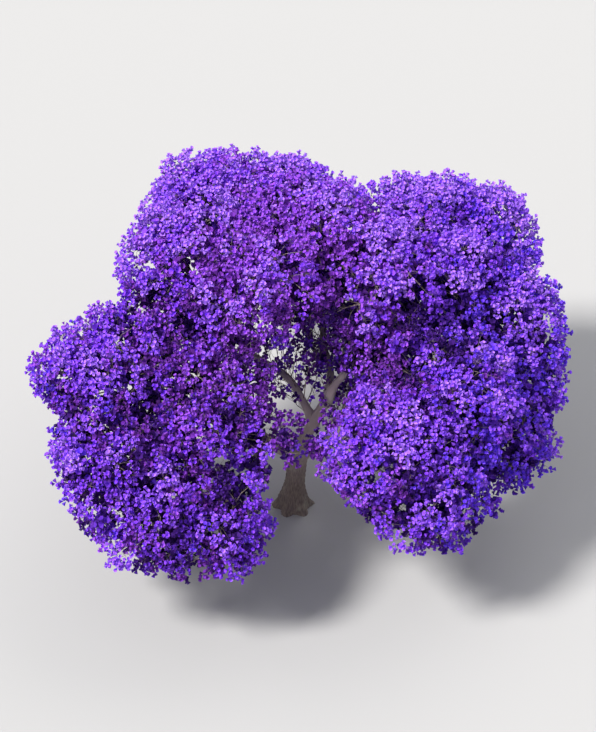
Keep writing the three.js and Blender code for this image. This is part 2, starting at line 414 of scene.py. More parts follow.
@dataclass(frozen=True)
class Mass:
    """The space of one mass of blossom: a flattened ball that merges softly into those around it.

    It is cut off by a plane towards each neighbour.
    """

    name: str
    centre: Array
    radius: float
    entry: Array
    heading: Array
    normals: Array = field(default_factory=lambda: np.zeros((0, 3)))
    limits: Array = field(default_factory=lambda: np.zeros(0))
    crown_centres: Array = field(default_factory=lambda: np.zeros((0, 3)))
    crown_radii: Array = field(default_factory=lambda: np.zeros(0))

    FLATTENING = 0.74
    SOFTNESS = 0.2
    FURTHEST = 1.35
    HALVINGS = 12

    @staticmethod
    def ball(radius: float, directions: Array) -> Array:
        """How far the flattened ball reaches: its radius over the length of the squashed direction."""
        return radius / np.linalg.norm(directions / np.array([1.0, 1.0, Mass.FLATTENING]), axis=-1)

    def in_crown(self, points: Array) -> Array:
        """Whether each point lies inside the skin of the crown.

        A point is inside where the pulls of all masses add up to more than one. A pull is the exponent
        of one less the flattened distance in radii, over the softness.

        Args:
            points: The points, one a row.

        Returns:
            True or false for each point.
        """
        apart = (points[:, None] - self.crown_centres) / np.array([1.0, 1.0, self.FLATTENING])
        shares = np.linalg.norm(apart, axis=-1) / self.crown_radii
        return np.exp((1.0 - shares) / self.SOFTNESS).sum(axis=1) > 1.0

    def skin(self, directions: Array) -> Array:
        """How far the crown's skin lies from the centre, found by halving.

        Args:
            directions: Unit directions, one a row.

        Returns:
            The distance along each direction.
        """
        inside = self.ball(self.radius, directions)
        outside = self.FURTHEST * inside
        for _ in range(self.HALVINGS):
            middle = 0.5 * (inside + outside)
            within = self.in_crown(self.centre + directions * middle[:, None])
            inside, outside = np.where(within, middle, inside), np.where(within, outside, middle)
        return inside

    def walls(self, directions: Array) -> Array:
        """How far the nearest plane ahead lies: its distance over the direction's lean towards it."""
        facing = directions @ self.normals.T
        return np.where(facing > 1e-6, self.limits / np.maximum(facing, 1e-6), np.inf).min(axis=-1)

    def reach(self, directions: Array) -> Array:
        """How far the mass's own space reaches: to the skin or to a plane, whichever is nearer."""
        return np.minimum(self.skin(directions), self.walls(directions))

    def gap(self, points: Array) -> Array:
        """How far inside the nearest plane each point lies."""
        return (self.limits - (points - self.centre) @ self.normals.T).min(axis=-1)


@dataclass(frozen=True)
class BoughPlan:
    """Where one bough leaves, where it goes and which masses its limbs carry.

    Each mass is given by its bearing, its reach, its height and its radius.
    """

    name: str
    parent: str
    share: float
    end: Place
    masses: tuple[tuple[float, float, float, float], ...]


@dataclass
class Skeleton:
    """The trunk, scaffolds, boughs and limbs, and the space of every mass, from the solids' own sizes."""

    trunk_end: Place = Place(35, 0.19, 2.3)
    trunk: Order = Order(0.43, 0.35, 0.33, 0.0, 128, 90, 0.016)
    scaffold: Order = Order(0.265, 0.195, 0.34, 0.03, 64, 48, 0.012)
    bough: Order = Order(0.165, 0.098, 0.36, 0.035, 36, 60, 0.005)
    limb: Order = Order(0.084, 0.06, 0.34, 0.04, 16, 24, 0.0025)
    entry_share: float = 0.74
    margin: float = 0.04
    departure: float = 0.55
    narrowing: float = 0.95
    scaffold_rise: float = 0.6
    limb_share: float = 0.98
    limb_step: float = 0.07
    limb_rise: float = 0.1
    limbs: dict[str, Limb] = field(default_factory=dict)
    masses: list[Mass] = field(default_factory=list)

    def branch(
        self, name: str, parent: Limb, share: float, end: Array, arrive: Array, order: Order, phase: float
    ) -> None:
        """Makes a limb that leaves its parent part of the way along, and keeps it by its name.

        Args:
            name: The limb's name.
            parent: The limb that it leaves.
            share: How far along its parent it leaves.
            end: Where it ends.
            arrive: The direction it ends in.
            order: The sizes of its order.
            phase: Where its sway begins.
        """
        start = parent.route.points(np.array(share))
        chord = unit(end - start)
        leave = blend(parent.route.tangents(np.array(share)), chord, self.departure)
        base = min(order.base, self.narrowing * parent.radius(share))
        route = Route(start, leave, end, arrive, order.curve, order.sway, phase)
        self.limbs[name] = Limb(name, parent.name, route, order, base)

    def build(self, scaffolds: dict[str, tuple[float, Place]], plans: list[BoughPlan]) -> None:
        """Works out every limb and mass.

        Args:
            scaffolds: For each scaffold, how far up the trunk it leaves and where it ends.
            plans: The boughs and the masses that they carry.
        """
        route = Route(np.zeros(3), UP, self.trunk_end.point(), UP)
        trunk = Trunk("trunk", "", route, self.trunk, self.trunk.base)
        self.limbs["trunk"] = trunk
        for i, (name, (share, place)) in enumerate(scaffolds.items()):
            outward = unit(Place(place.bearing, place.reach, 0.0).point())
            arrive = blend(outward, UP, self.scaffold_rise)
            self.branch(name, trunk, share, place.point(), arrive, self.scaffold, i)
        for i, plan in enumerate(plans):
            middle = np.mean([Place(*mass[:3]).point() for mass in plan.masses], axis=0)
            end = plan.end.point()
            parent, arrive = self.limbs[plan.parent], unit(middle - end)
            self.branch(f"bough_{plan.name}", parent, plan.share, end, arrive, self.bough, 2 * i + 1)
        found = [self.carried(i, plan, j) for i, plan in enumerate(plans) for j in range(len(plan.masses))]
        self.masses = [self.walled(mass, found) for mass in found]

    def carried(self, i: int, plan: BoughPlan, j: int) -> Mass:
        """Makes the limb that carries one mass, and the mass at its tip.

        Args:
            i: The bough's place in the list.
            plan: The bough.
            j: The mass's place on the bough.

        Returns:
            The mass, with no walls yet.
        """
        *place, radius = plan.masses[j]
        parent = self.limbs[f"bough_{plan.name}"]
        share = self.limb_share - self.limb_step * j
        centre = Place(*place).point()
        heading = blend(unit(centre - parent.route.points(np.array(share))), UP, self.limb_rise)
        entry = centre - self.entry_share * Mass.ball(radius, heading) * heading
        label = f"{plan.name}_{j + 1}"
        self.branch(f"limb_{label}", parent, share, entry, heading, self.limb, 3 * i + j)
        return Mass(f"blossom_{label}", centre, radius, entry, heading)

    def walled(self, mass: Mass, masses: list[Mass]) -> Mass:
        """The mass with a plane towards each neighbour, at its own share of the way, less a margin.

        Args:
            mass: The mass.
            masses: All the masses, with this one among them.

        Returns:
            The mass with its walls.
        """
        others = [other for other in masses if other is not mass]
        apart = np.array([other.centre - mass.centre for other in others])
        normals = unit(apart)
        own = Mass.ball(mass.radius, normals)
        theirs = np.array([Mass.ball(other.radius, normal) for other, normal in zip(others, normals)])
        limits = np.linalg.norm(apart, axis=1) * own / (own + theirs) - self.margin
        centres = np.array([each.centre for each in masses])
        radii = np.array([each.radius for each in masses])
        return replace(mass, normals=normals, limits=limits, crown_centres=centres, crown_radii=radii)


class Recipe:
    """A material in the making: its main shader and the nodes that feed it."""

    def __init__(self, name: str, roughness: float) -> None:
        """Starts a material of one roughness.

        Args:
            name: The material's name.
            roughness: How rough it is.
        """
        self.material = bpy.data.materials.new(name)
        self.material.use_nodes = True
        self.tree = self.material.node_tree
        self.shader = self.tree.nodes["Principled BSDF"]
        self.fill(self.shader, {"Roughness": roughness})

    def fill(self, node: bpy.types.Node, inputs: dict[str, Any]) -> None:
        """Fills a node's inputs by name: another node's socket is linked, anything else is the value.

        Args:
            node: The node.
            inputs: What goes into each input.
        """
        for name, value in inputs.items():
            if isinstance(value, bpy.types.NodeSocket):
                self.tree.links.new(value, node.inputs[name])
            else:
                node.inputs[name].default_value = value

    def node(self, kind: str, inputs: dict[str, Any] | None = None) -> bpy.types.Node:
        """Adds a node of a kind, with its inputs filled.

        Args:
            kind: Its kind.
            inputs: What goes into each input.

        Returns:
            The node.
        """
        made = self.tree.nodes.new(f"ShaderNode{kind}")
        self.fill(made, inputs or {})
        return made

    def noise(self, where: Any, scale: float, detail: float = 2.0, distortion: float = 0.0) -> Any:
        """A soft random pattern.

        Args:
            where: The coordinates that it is read at.
            scale: How fine it is.
            detail: How many finer patterns are added.
            distortion: How far it is pulled about.

        Returns:
            The pattern's socket.
        """
        inputs = {"Vector": where, "Scale": scale, "Detail": detail, "Distortion": distortion}
        return self.node("TexNoise", inputs).outputs["Fac"]

    def ramp(self, share: Any, low: tuple[float, Colour], high: tuple[float, Colour]) -> Any:
        """A colour that runs from one to another as a share grows, each given with its own share.

        Args:
            share: The share's socket.
            low: The share where the first colour ends, and the colour.
            high: The share where the second colour begins, and the colour.

        Returns:
            The colour's socket.
        """
        made = self.node("ValToRGB", {"Fac": share})
        for element, (position, colour) in zip(made.color_ramp.elements, (low, high)):
            element.position = position
            element.color = colour
        return made.outputs["Color"]

    def mixed(self, share: Any, first: Any, second: Colour) -> Any:
        """The colour that lies a share of the way from one to another.

        Args:
            share: The share's socket.
            first: The first colour's socket.
            second: The second colour.

        Returns:
            The mixed colour's socket.
        """
        made = self.node("Mix")
        made.data_type = "RGBA"
        self.fill(made, {"Factor": share, "A": first, "B": second})
        return made.outputs["Result"]


@dataclass(frozen=True)
class BarkFinish:
    """Grey-brown bark with fissures that run along the limb, paler and smoother on the upper limbs."""

    dark: Colour = (0.075, 0.056, 0.046, 1.0)
    mid: Colour = (0.19, 0.145, 0.118, 1.0)
    pale: Colour = (0.53, 0.42, 0.46, 1.0)
    lichen: Colour = (0.36, 0.36, 0.29, 1.0)
    bare: Colour = (0.0, 0.0, 0.0, 1.0)
    covered: Colour = (0.55, 0.55, 0.55, 1.0)
    roughness: float = 0.92
    stretch: Point = (26.0, 5.0, 1.0)
    paling_heights: Span = (1.2, 5.5)
    paleness: Span = (0.1, 0.8)
    fissure_depth: float = 0.012
    fissure_strength: float = 0.6

    def material(self) -> bpy.types.Material:
        """A material whose colour mixes fissures, height up the tree and pale patches.

        Returns:
            The material.
        """
        recipe = Recipe("jacaranda_bark", self.roughness)
        along = recipe.node("UVMap")
        along.uv_map = "along_limb"
        stretched = recipe.node("Mapping", {"Vector": along.outputs["UV"], "Scale": self.stretch})
        fissures = recipe.noise(stretched.outputs["Vector"], scale=1.0, detail=6.0, distortion=0.6)
        place = recipe.node("TexCoord").outputs["Object"]
        patches = recipe.noise(place, scale=1.7, detail=4.0)
        height = recipe.node("SeparateXYZ", {"Vector": place}).outputs["Z"]
        names = ("From Min", "From Max", "To Min", "To Max")
        limits = dict(zip(names, self.paling_heights + self.paleness))
        rise = recipe.node("MapRange", {"Value": height, **limits}).outputs["Result"]
        plain = recipe.ramp(fissures, (0.36, self.dark), (0.62, self.mid))
        cover = recipe.ramp(patches, (0.56, self.bare), (0.7, self.covered))
        colour = recipe.mixed(cover, recipe.mixed(rise, plain, self.pale), self.lichen)
        relief = {"Height": fissures, "Strength": self.fissure_strength, "Distance": self.fissure_depth}
        normal = recipe.node("Bump", relief).outputs["Normal"]
        recipe.fill(recipe.shader, {"Base Color": colour, "Normal": normal})
        return recipe.material


@dataclass(frozen=True)
class TwigFinish:
    """Thin greyish twigs, mottled between two browns."""

    dark: Colour = (0.09, 0.06, 0.06, 1.0)
    pale: Colour = (0.34, 0.26, 0.24, 1.0)
    roughness: float = 0.85

    def material(self) -> bpy.types.Material:
        """A material whose colour runs between two browns with a fine noise.

        Returns:
            The material.
        """
        recipe = Recipe("jacaranda_twig", self.roughness)
        noise = recipe.noise(recipe.node("TexCoord").outputs["Object"], scale=9.0)
        colour = recipe.ramp(noise, (0.35, self.dark), (0.65, self.pale))
        recipe.fill(recipe.shader, {"Base Color": colour})
        return recipe.material


class Tint(Enum):
    """The plain base colours of sprays of blossom in linear light, and how light and how pink each is. They
    are lit and shaded copies of the violet: the pale tints paint lit blossom and the dark ones paint shade.
    """

    PEARL = (0.42, 0.185, 0.94, 1.05, 0.25)
    LILAC = (0.325, 0.11, 0.9, 0.78, 0.25)
    ORCHID = (0.32, 0.085, 0.7, 0.66, 0.75)
    VIOLET = (0.24, 0.06, 0.74, 0.52, 0.35)
    IRIS = (0.165, 0.055, 0.74, 0.5, -0.15)
    # Plum, indigo and midnight are painted shade, for blossom in creases, in hollows and inside the crown.
    PLUM = (0.17, 0.035, 0.38, 0.27, 0.6)
    INDIGO = (0.11, 0.026, 0.42, 0.22, 0.1)
    MIDNIGHT = (0.05, 0.011, 0.17, -0.1, 0.3)

    @staticmethod
    def nearest(light: Array, pink: Array) -> Array:
        """The place in the list of the tint nearest to each lightness and pinkness.

        Args:
            light: How light each is.
            pink: How pink each is.

        Returns:
            The places, shaped as the given ones.
        """
        tones = np.array([tint.value[3:] for tint in Tint])
        apart = (light[..., None] - tones[:, 0]) ** 2 + 0.5 * (pink[..., None] - tones[:, 1]) ** 2
        return np.argmin(apart, axis=-1)


@dataclass(frozen=True)
class PetalFinish:
    """Soft petals in one tint: how light the tube and the paler open mouth are beside the tint itself."""

    tube: float = 0.8
    mouth: float = 1.15
    lightest: float = 0.98
    roughness: float = 0.65
    shine: float = 0.15

    def materials(self, tint: Tint) -> list[bpy.types.Material]:
        """The finishes of the flower's tube and of its mouth, in that order.

        Args:
            tint: The tint.

        Returns:
            The two materials.
        """
        made = []
        for part, strength in (("tube", self.tube), ("mouth", self.mouth)):
            recipe = Recipe(f"petal_{tint.name.lower()}_{part}", self.roughness)
            colour = [min(strength * value, self.lightest) for value in tint.value[:3]]
            recipe.fill(recipe.shader, {"Base Color": (*colour, 1.0), "Specular IOR Level": self.shine})
            made.append(recipe.material)
        return made


@dataclass
class BarkSkin:
    """One mesh with the bark's relief that stands for the trunk and every limb."""

    skeleton: Skeleton
    finish: BarkFinish
    ridge_pitch: int = 60
    fewest_ridges: int = 6
    ring_height: float = 0.5
    ring_pitch: float = 31.0
    swell_height: float = 2.2
    dome_rings: int = 4
    dome_height: float = 0.8
    web_reach: float = 1.25
    web_rise: float = 0.3
    inner_fall: float = 3.0
    root_width: float = 0.96
    opening: float = 2.2

    def relief(self, limb: Limb, shares: Array, angles: Array) -> Array:
        """How far the bark stands out over a grid of shares and angles.

        Sharp ridges, from one minus twice the size of a sine, whose line wanders with two slower waves
        along the limb, crossed by broken rings and by low swellings.

        Args:
            limb: The limb.
            shares: Shares of its length, one a row.
            angles: Angles round it, one a column.

        Returns:
            The relief in metres.
        """
        along = (shares * limb.route.length)[:, None]
        turn = angles[None, :]
        ridges = max(self.fewest_ridges, int(limb.base * self.ridge_pitch))
        wander = 1.6 * np.sin(2.1 * along + 3 * turn) + 0.9 * np.sin(5.3 * along - 2 * turn + 1.0)
        ridge = 1.0 - 2.0 * np.abs(np.sin(0.5 * ridges * turn + wander))
        broken = 4.0 * np.sin(3 * turn + 2.0 * along)
        rings = self.ring_height * np.sin(self.ring_pitch * along + broken)
        swell = self.swell_height * np.sin(1.7 * along + 2 * turn + limb.route.phase)
        return limb.order.relief * (ridge + rings * (ridge > 0) + swell * np.sin(2.9 * along + 0.7))

    def webs(self, limb: Limb, points: Array) -> Array:
        """How far the skin swells out at a fork, so that limbs run into each other in smooth hollows.

        The rise times the reach, times the square of one less the clearance over the reach, where the
        reach is a share of the thinner limb's radius, and much less inside the other limb. The trunk
        swells out to its limbs, and they don't to it.

        Args:
            limb: The limb.
            points: Points of its skin, with the coordinates last.

        Returns:
            The swelling in metres at each point.
        """
        swelling = np.zeros(points.shape[:-1])
        for other in self.skeleton.limbs.values():
            if limb.touches(other) and not isinstance(other, Trunk):
                reach = self.web_reach * min(limb.base, other.base)
                apart = other.clearance(points) / reach
                near = np.maximum(1.0 - np.where(apart < 0.0, -self.inner_fall * apart, apart), 0.0)
                swelling = np.maximum(swelling, self.web_rise * reach * near**2)
        return swelling

    def surface(self, limb: Limb) -> Surface:
        """The closed skin of one limb.

        Rings of points about the centre line, at the plain radius plus the relief and the webs, which
        open out in a cone from the base. A flat disc closes the base and a dome the tip, whose rings
        shrink as a cosine while they rise as a sine.

        Args:
            limb: The limb.

        Returns:
            Its surface, with the pattern's coordinates in metres round and along it.
        """
        order = limb.order
        shares = np.linspace(0.0, 1.0, order.rings)
        angles = 2.0 * math.pi * np.arange(order.sides) / order.sides
        centres = limb.route.points(shares)
        tangents = limb.route.tangents(shares)
        radii = limb.radii(shares, angles) + self.relief(limb, shares, angles)
        rise = np.linspace(0.0, 0.5 * math.pi, self.dome_rings + 1)[1:-1]
        height = self.dome_height * order.tip
        tip = limb.route.end + height * np.sin(rise)[:, None] * limb.route.arrive
        centres = np.concatenate([centres, tip])
        tangents = np.concatenate([tangents, np.repeat(tangents[-1:], len(rise), 0)])
        radii = np.concatenate([radii, radii[-1:] * np.cos(rise)[:, None]])
        side = limb.frame_side()
        across = unit(side - (tangents @ side)[:, None] * tangents)
        other = np.cross(across, tangents)
        wheel = around(angles[None, :], across[:, None], other[:, None])
        radii = radii + self.webs(limb, centres[:, None] + radii[..., None] * wheel)
        steps = np.linalg.norm(np.diff(centres, axis=0), axis=1)
        along = np.concatenate([[0.0], np.cumsum(steps)])
        if limb.parent:
            radii = np.minimum(radii, limb.base * (self.root_width + self.opening * along[:, None]))
        grid = centres[:, None] + radii[..., None] * wheel
        poles = np.stack([centres[0], limb.route.end + height * limb.route.arrive])
        return self.closed(grid, poles, along, limb.base)

    def closed(self, grid: Array, poles: Array, along: Array, radius: float) -> Surface:
        """Faces over a grid of rings, with a fan at each pole.

        Args:
            grid: The points, by ring and by side.
            poles: The points that close the first and the last ring.
            along: How far along the limb each ring lies.
            radius: The radius that the pattern is wrapped round.

        Returns:
            The closed surface.
        """
        rings, sides = grid.shape[:2]
        ring, column = np.meshgrid(np.arange(rings - 1), np.arange(sides), indexing="ij")
        after = (column + 1) % sides
        low, high = ring * sides, (ring + 1) * sides
        quads = np.stack([low + column, high + column, high + after, low + after], axis=-1).reshape(-1, 4)
        turn = 2.0 * math.pi * radius / sides
        u = np.stack([column, column, column + 1, column + 1], axis=-1) * turn
        v = np.stack([along[ring], along[ring + 1], along[ring + 1], along[ring]], axis=-1)
        first, last = np.arange(sides), (rings - 1) * sides + np.arange(sides)
        pole = rings * sides
        fans = np.concatenate(
            [
                np.stack([np.full(sides, pole), first, np.roll(first, -1)], axis=1),
                np.stack([np.full(sides, pole + 1), np.roll(last, -1), last], axis=1),
            ]
        )
        fan_u = np.tile(np.stack([first, first, first + 1], axis=1) * turn, (2, 1))
        fan_v = np.repeat([[along[0]] * 3, [along[-1]] * 3], sides, axis=0)
        uvs = np.concatenate(
            [
                np.stack([u.reshape(-1, 4), v.reshape(-1, 4)], axis=-1).reshape(-1, 2),
                np.stack([fan_u, fan_v], axis=-1).reshape(-1, 2),
            ]
        )
        return Surface(
            np.concatenate([grid.reshape(-1, 3), poles]),
            np.concatenate([quads.ravel(), fans.ravel()]),
            np.concatenate([np.full(len(quads), 4), np.full(len(fans), 3)]),
            uvs,
        )

    def build(self) -> None:
        """Makes the bark of the whole tree as one object."""
        limbs = list(self.skeleton.limbs.values())
        skin = Surface.joined([self.surface(limb) for limb in limbs])
        made = skin.to_object("bark", smooth=True)
        made.data.materials.append(self.finish.material())
        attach(made, "root")
        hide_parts(*[limb.name for limb in limbs])
        LOG.info("bark: %d triangles", skin.triangles())


@dataclass
class Batch:
    """Things of one kind that grow, as arrays side by side with an entry for each."""

    @classmethod
    def joined(cls, parts: list[Self]) -> Self:
        """One batch that holds all the given ones."""
        names = [each.name for each in fields(cls)]
        return cls(*[np.concatenate([getattr(part, name) for part in parts]) for name in names])

    def some(self, own: Array | slice) -> Self:
        """The entries that a mask, a slice or a list of places picks out, which may come twice."""
        return type(self)(*[getattr(self, each.name)[own] for each in fields(self)])


@dataclass
class Twigs(Batch):
    """A batch of thin curved twigs, each a few rings round a curve with one bend."""

    starts: Array
    leaves: Array
    ends: Array
    bases: Array
    tips: Array

    @classmethod
    def alike(cls, starts: Array, leaves: Array, ends: Array, radii: Span) -> Self:
        """Twigs that all have the same radius at their base, and the same at their tip."""
        return cls(starts, leaves, ends, *[np.full(len(starts), radius) for radius in radii])

    def points(self, shares: Array, bend: float = 0.4) -> Array:
        """Points along each twig.

        The three weights of a curve with one handle, which lies a share of the twig's length ahead of
        its start.

        Args:
            shares: How far along the points lie, the same for all twigs or one each.
            bend: Where the handle lies, as a share of the twig's length.

        Returns:
            The points, by twig and by share.
        """
        length = np.linalg.norm(self.ends - self.starts, axis=1)[:, None]
        handle = self.starts + self.leaves * bend * length
        t = np.broadcast_to(shares, (len(self.starts), np.shape(shares)[-1]))[..., None]
        curve = (1 - t) ** 2 * self.starts[:, None] + 2 * t * (1 - t) * handle[:, None]
        return curve + t * t * self.ends[:, None]

    def surface(self, rings: int, sides: int) -> Surface:
        """Closed tubes round every twig.

        Rings of points about the curve, at a radius that tapers from base to tip, with each end closed
        by a fan from its first point.

        Args:
            rings: How many rings each twig has.
            sides: How many points each ring has.

        Returns:
            The surface of all the tubes.
        """
        shares = np.linspace(0.0, 1.0, rings)
        centres = self.points(shares)
        first, second = basis(unit(np.gradient(centres, axis=1)))
        angles = 2.0 * math.pi * np.arange(sides) / sides
        radii = self.bases[:, None] + (self.tips - self.bases)[:, None] * shares
        wheel = around(angles[None, None], first[:, :, None], second[:, :, None])
        grid = centres[:, :, None] + radii[:, :, None, None] * wheel
        ring, column = np.meshgrid(np.arange(rings - 1), np.arange(sides), indexing="ij")
        after = (column + 1) % sides
        a, b = ring * sides + column, ring * sides + after
        c, d = (ring + 1) * sides + after, (ring + 1) * sides + column
        walls = np.concatenate([np.stack(three, -1).reshape(-1, 3) for three in ((a, b, c), (a, c, d))])
        fan = np.arange(1, sides - 1)
        top = (rings - 1) * sides
        base_fan = np.stack([np.zeros_like(fan), fan + 1, fan], axis=1)
        tip_fan = np.stack([np.full_like(fan, top), top + fan, top + fan + 1], axis=1)
        one = np.concatenate([walls, base_fan, tip_fan])
        faces = one[None] + (np.arange(len(grid)) * rings * sides)[:, None, None]
        return Surface(grid.reshape(-1, 3), faces.ravel(), np.full(len(one) * len(grid), 3))


@dataclass
class Panicles(Batch):
    """A batch of flower heads: starts, directions, lengths, the scale of the flowers, and tints."""

    starts: Array
    axes: Array
    lengths: Array
    scales: Array
    tints: Array


@dataclass
class Growth:
    """Everything that grows in one mass: its twigs by order and its flower heads."""

    thick: Twigs
    shoots: Twigs
    stalks: Twigs
    panicles: Panicles


@dataclass(frozen=True)
class Billows:
    """The rounded lobes that a mass of blossom swells into, as balls inside a ball of radius one."""

    centres: Array
    size: float = 0.46
    least: float = 0.75

    COUNT = 12
    DEPTH = 0.54
    LOWEST = -0.85
    STRAY = 0.5

    @staticmethod
    def scattered(dice: np.random.Generator) -> Billows:
        """Lobes spread evenly round the mass and shifted by chance."""
        shift = Billows.STRAY * (dice.random((Billows.COUNT, 3)) - 0.5)
        return Billows(Billows.DEPTH * unit(spiral(Billows.COUNT, Billows.LOWEST) + shift))

    def swell(self, directions: Array) -> tuple[Array, Array]:
        """How far the lobes reach, where a ray from the middle leaves the last of them.

        Along a direction a ball ends at the direction's lean towards its centre plus the root of the
        ball's radius squared less the centre's distance from the ray squared.

        Args:
            directions: Unit directions in the space where the mass is a ball of radius one.

        Returns:
            The reach as a share of the ball's, and which lobe it belongs to.
        """
        facing = directions @ self.centres.T
        under = self.size**2 - np.sum(self.centres**2, axis=1) + facing**2
        ends = np.where(under > 0, facing + np.sqrt(np.maximum(under, 0.0)), self.least)
        return ends.max(axis=1), ends.argmax(axis=1)


@dataclass(frozen=True)
class Layer:
    """One layer of puffs in a mass: how many, how deep, how wide, and what heads each one carries.

    The last two numbers are the share of its puffs that is kept where another mass lies close ahead, and
    the share that is left out in the middle of a hollow.
    """

    density: float
    depth: tuple[float, float]
    size: tuple[float, float]
    heads: int
    scale: float
    # How light the layer's heads are painted. A low value paints the layer dark, as shade.
    light: float
    between: float
    thinning: float


@dataclass
class Puffs(Batch):
    """A batch of puffs: their middles, which way they face, their size, their swell and their shade.

    The swell is how far the lobe reaches there. The shade is painted shade in the seams between masses and
    in the hollows: how much darker a puff is painted than its layer.
    """

    centres: Array
    facing: Array
    sizes: Array
    swell: Array
    shade: Array


@dataclass(frozen=True)
class Shading:
    """How light and how pink the blossom is over the crown, fitted to the photograph by comparison. The
    lightness is painted light and shade.
    """

    # Weights of painted light and shade: lighter facing up, on swelling lobes, higher, further out and
    # towards the back, and painted shade over the fork.
    facing: float = 0.2
    swell: float = 1.5
    usual_swell: float = 0.9
    height: float = 0.055
    usual_height: float = 8.5
    outwards: float = 0.012
    backwards: float = 0.02
    back: float = 1.0
    fork: Span = (-0.2, -2.9)
    fork_spread: Span = (4.0, 1.6)
    fork_shade: float = 0.3
    middle: float = 2.0
    middle_spread: float = 4.5
    right: float = 5.5
    pinkness: float = 0.33
    middle_pink: float = 0.42
    right_blue: float = 0.35
    fork_pink: float = 0.3
    puff_stray: float = 0.12
    head_strays: Span = (0.09, 0.1)

    def tints(self, puffs: Puffs, layer: Layer, dice: np.random.Generator) -> Array:
        """The tint of every head, dealt out by puff.

        A puff's lightness is painted light and shade. It grows as the puff faces up, with its height,
        outwards, towards the back and with how far its lobe swells, so that tops and swelling lobes are
        painted lit and the creases between lobes are painted in shade. It falls by the puff's painted shade
        and by a painted shade over the fork. Its pinkness is greatest over the middle of the crown and the
        fork, and least to the right. Chance moves both, and each head strays a little more.

        Args:
            puffs: The puffs.
            layer: Their layer.
            dice: The mass's random numbers.

        Returns:
            The place of each head's tint in the list of tints, by puff and head.
        """
        x, y, z = puffs.centres.T
        # Painted light: lighter facing up, on swelling lobes, higher, further out and towards the back.
        light = layer.light + self.facing * puffs.facing[:, 2]
        light += self.swell * (puffs.swell - self.usual_swell)
        light += self.height * (z - self.usual_height)
        light += self.outwards * np.hypot(x, y) + self.backwards * np.maximum(y - self.back, 0.0)
        across, ahead = (x - self.fork[0]) / self.fork_spread[0], (y - self.fork[1]) / self.fork_spread[1]
        near_fork = np.exp(-(across**2) - ahead**2)
        # Painted shade: the puff's own painted shade, and more over the fork.
        light -= puffs.shade + self.fork_shade * near_fork
        middle = np.exp(-((np.hypot(x, y - self.middle) / self.middle_spread) ** 2))
        right = 1.0 / (1.0 + np.exp(self.right - x))
        pink = self.pinkness + self.middle_pink * middle - self.right_blue * right
        pink += self.fork_pink * near_fork
        puff, head = (len(x), 1), (len(x), layer.heads)
        strayed = [
            tone[:, None] + dice.normal(0.0, self.puff_stray, puff) + dice.normal(0.0, stray, head)
            for tone, stray in zip((light, pink), self.head_strays)
        ]
        return Tint.nearest(*strayed)


